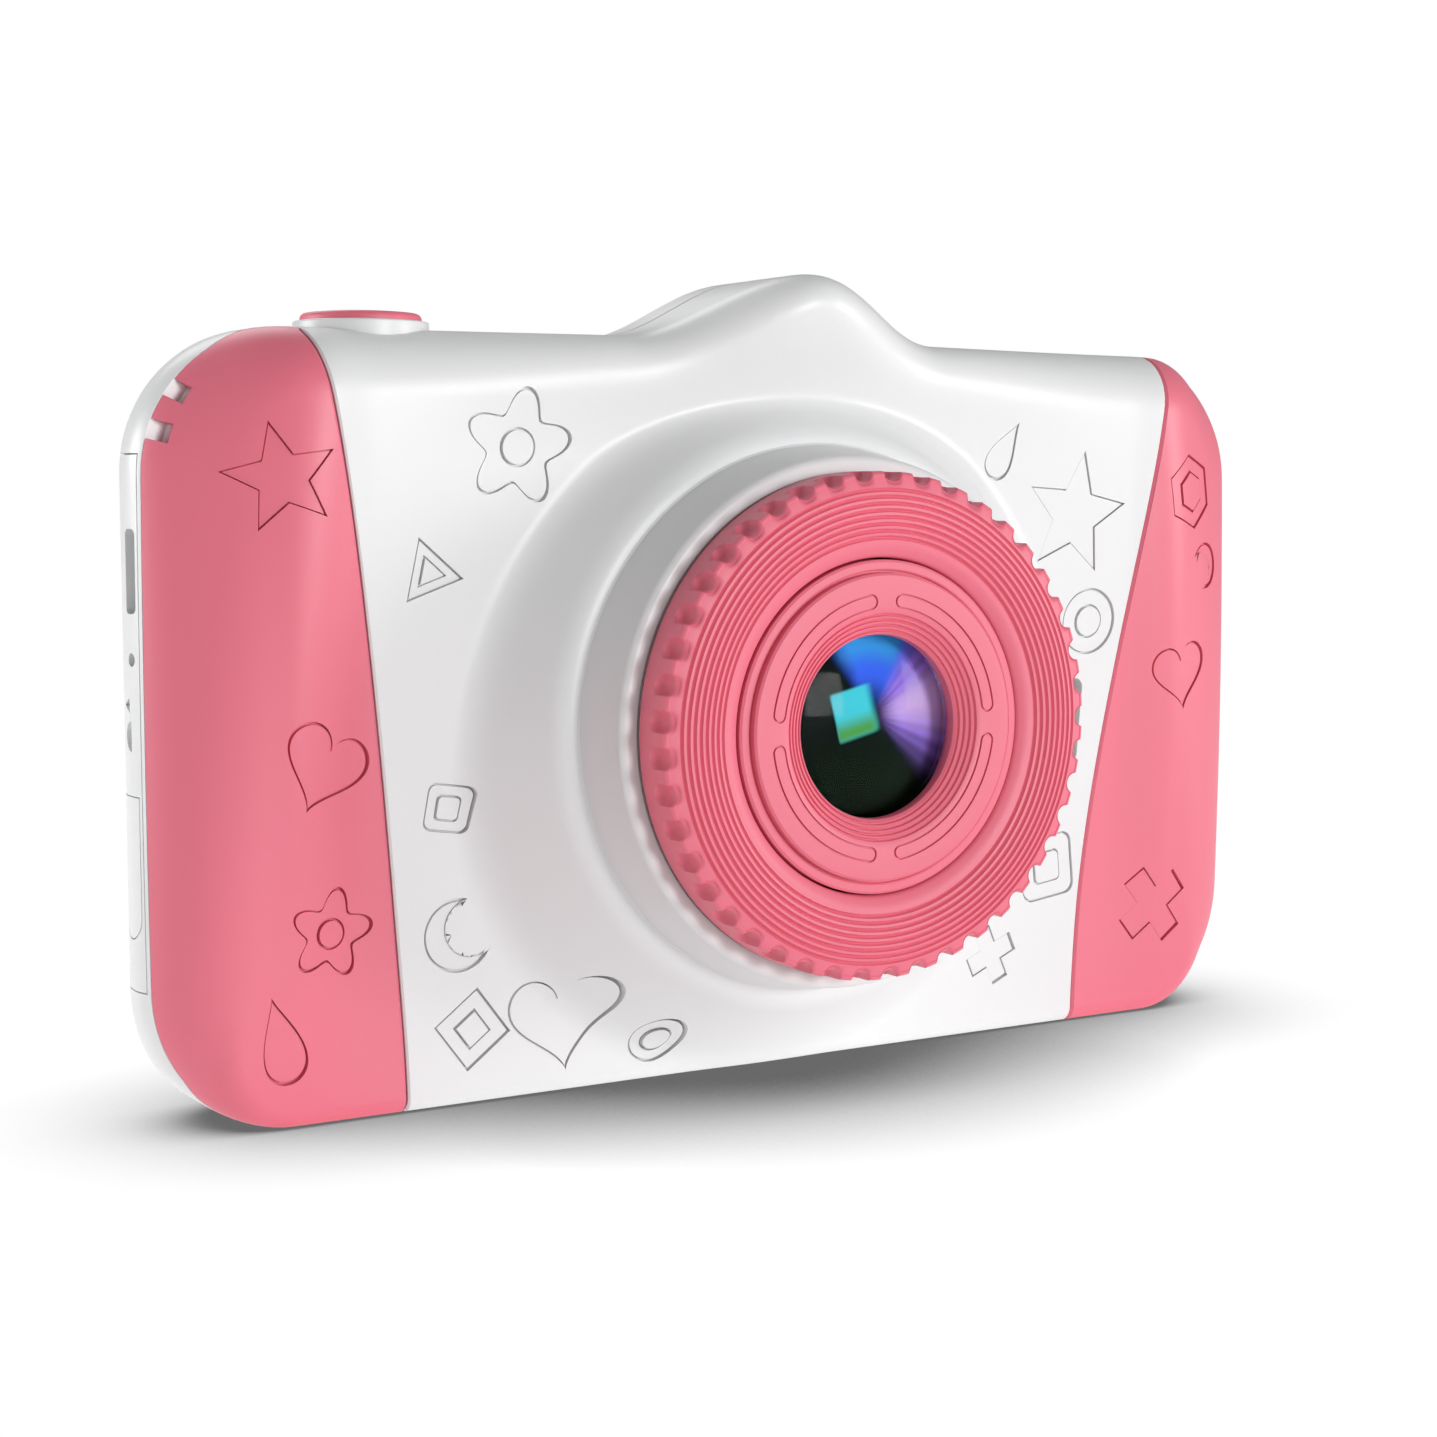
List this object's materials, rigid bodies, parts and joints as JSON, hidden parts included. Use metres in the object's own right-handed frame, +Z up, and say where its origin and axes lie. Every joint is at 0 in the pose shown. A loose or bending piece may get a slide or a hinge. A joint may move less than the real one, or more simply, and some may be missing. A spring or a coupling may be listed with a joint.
{
  "type": "kids digital camera",
  "caption": "Compact toy camera: rounded casing with end grips, a stepped barrel with a turning toothed ring, a shutter button, rear keys and screen, and a side card door.",
  "frame": {"origin": "centre of the flat underside", "axes": "+X to the right seen from the front, +Y to the back, +Z up; the lens faces -Y"},
  "size_m": [0.1252, 0.0359, 0.0775],
  "materials": {
    "white_case": "satin",
    "pink_grip": "satin",
    "pink_trim": "satin",
    "door_rubber": "matte",
    "lens_glass": "polished",
    "screen_glass": "gloss",
    "black_plastic": "matte",
    "board": "satin",
    "steel": "satin",
    "cell": "satin",
    "key_rubber": "matte"
  },
  "bodies": {
    "camera": {"front_shell": "white_case", "left_grip": "pink_grip", "right_grip": "pink_grip", "rear_shell": "white_case", "side_panel": "white_case", "lens_bezel": "pink_trim", "lens_window": "lens_glass", "lens_baffle": "black_plastic", "inner_lens": "lens_glass", "lens_holder": "black_plastic", "image_sensor": "screen_glass", "sensor_board": "board", "shutter_collar": "white_case", "shutter_switch": "black_plastic", "main_board": "board", "battery": "cell", "battery_lead": "black_plastic", "usb_socket": "steel", "card_socket": "steel", "memory_card": "black_plastic", "microphone": "steel", "speaker": "black_plastic", "lcd_panel": "screen_glass", "lcd_frame": "black_plastic", "screen_window": "screen_glass", "keypad": "key_rubber", "case_screw_1": "steel", "case_screw_2": "steel", "case_screw_3": "steel", "case_screw_4": "steel"},
    "ring": {"lens_ring": "pink_trim", "ring_retainer": "white_case"},
    "shutter": {"shutter_button": "pink_trim", "shutter_spring": "steel"},
    "door": {"card_door": "door_rubber"},
    "ok": {"key_ok": "pink_trim"},
    "up": {"key_up": "pink_trim"},
    "down": {"key_down": "pink_trim"},
    "left": {"key_left": "pink_trim"},
    "right": {"key_right": "pink_trim"},
    "menu": {"key_menu": "pink_trim"},
    "power": {"key_power": "pink_trim"}
  },
  "joints": [
    {"name": "ring_turn", "type": "hinge", "parent": "camera", "child": "ring", "pos_m": [0, -0.0218, 0.0354], "axis": [0, 1, 0], "continuous": true},
    {"name": "shutter_press", "type": "slide", "parent": "camera", "child": "shutter", "axis": [0, 0, -1], "range_m": [0, 0.0008], "stiffness_N_per_m": 800, "deforming": ["shutter_spring"]},
    {"name": "door_open", "type": "hinge", "parent": "camera", "child": "door", "pos_m": [-0.0626, 0, 0.0303], "axis": [0, 1, 0], "range_deg": [0, 100]},
    {"name": "ok_press", "type": "slide", "parent": "camera", "child": "ok", "axis": [0, -1, 0], "range_m": [0, 0.0006], "stiffness_N_per_m": 800},
    {"name": "up_press", "type": "slide", "parent": "camera", "child": "up", "axis": [0, -1, 0], "range_m": [0, 0.0006], "stiffness_N_per_m": 800},
    {"name": "down_press", "type": "slide", "parent": "camera", "child": "down", "axis": [0, -1, 0], "range_m": [0, 0.0006], "stiffness_N_per_m": 800},
    {"name": "left_press", "type": "slide", "parent": "camera", "child": "left", "axis": [0, -1, 0], "range_m": [0, 0.0006], "stiffness_N_per_m": 800},
    {"name": "right_press", "type": "slide", "parent": "camera", "child": "right", "axis": [0, -1, 0], "range_m": [0, 0.0006], "stiffness_N_per_m": 800},
    {"name": "menu_press", "type": "slide", "parent": "camera", "child": "menu", "axis": [0, -1, 0], "range_m": [0, 0.0006], "stiffness_N_per_m": 800},
    {"name": "power_press", "type": "slide", "parent": "camera", "child": "power", "axis": [0, -1, 0], "range_m": [0, 0.0006], "stiffness_N_per_m": 800}
  ]
}
